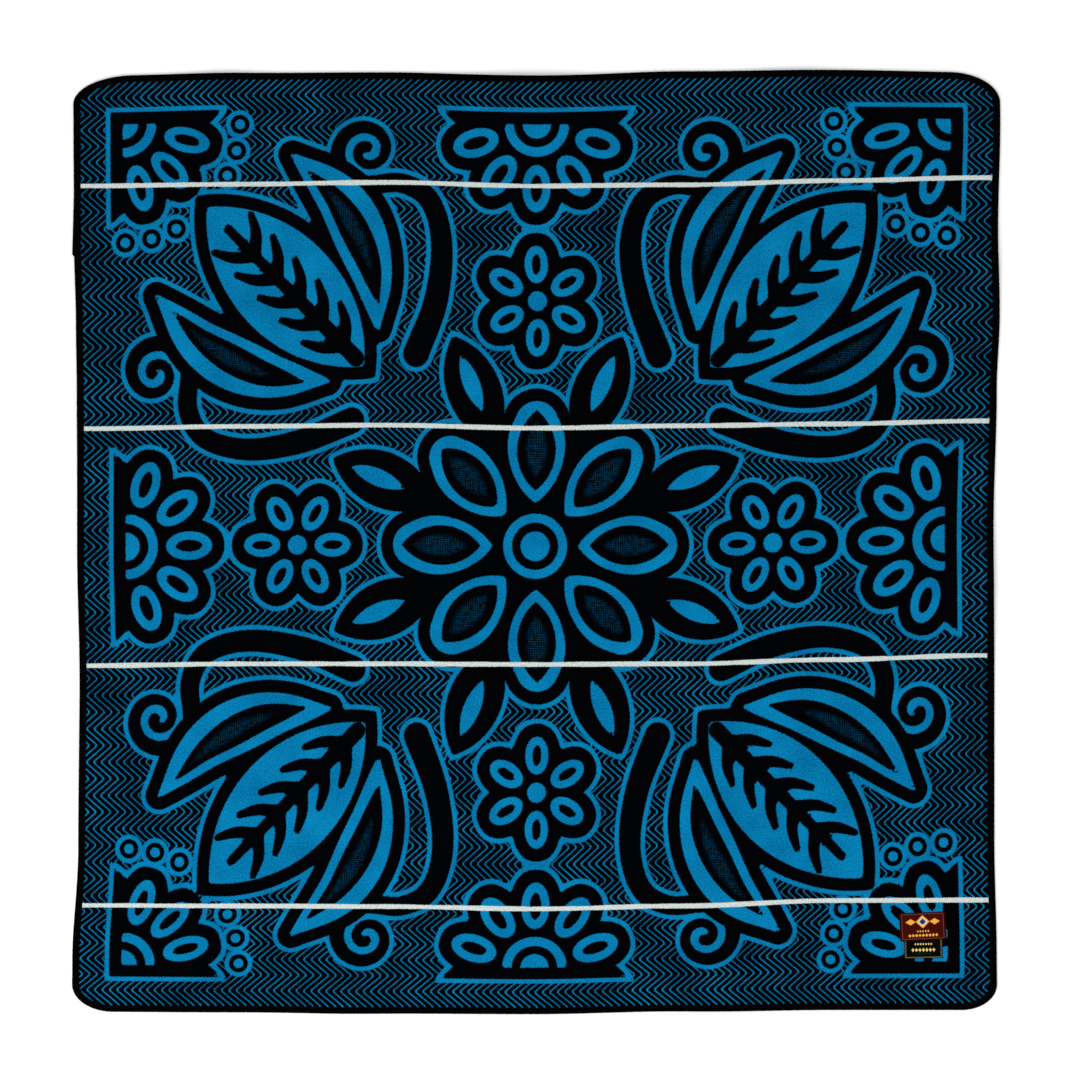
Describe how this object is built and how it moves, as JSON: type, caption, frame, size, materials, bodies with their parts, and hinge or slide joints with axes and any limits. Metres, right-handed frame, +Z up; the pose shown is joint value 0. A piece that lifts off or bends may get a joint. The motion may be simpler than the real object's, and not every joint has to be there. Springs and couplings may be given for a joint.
{
  "type": "basotho blanket spread flat",
  "caption": "Square wool blanket with rounded corners, spread flat, with a whipped yarn edge, four pin stripes and two small sewn labels.",
  "frame": {"origin": "on the floor, under the middle of the blanket's outline", "axes": "+Z up from the floor, +Y towards the blanket's top edge, +X to the right seen from above; the labels are at the corner of +X and -Y"},
  "size_m": [1.5494, 1.576, 0.0097],
  "materials": {
    "wool": "brushed matt wool, blue on black",
    "yarn": "matt black yarn",
    "red_label": "woven, slightly glossy",
    "black_label": "woven, slightly glossy"
  },
  "bodies": {
    "root": {"blanket_cloth": "wool", "edge_whipping": "yarn", "upper_label": "red_label", "lower_label": "black_label"}
  },
  "joints": []
}
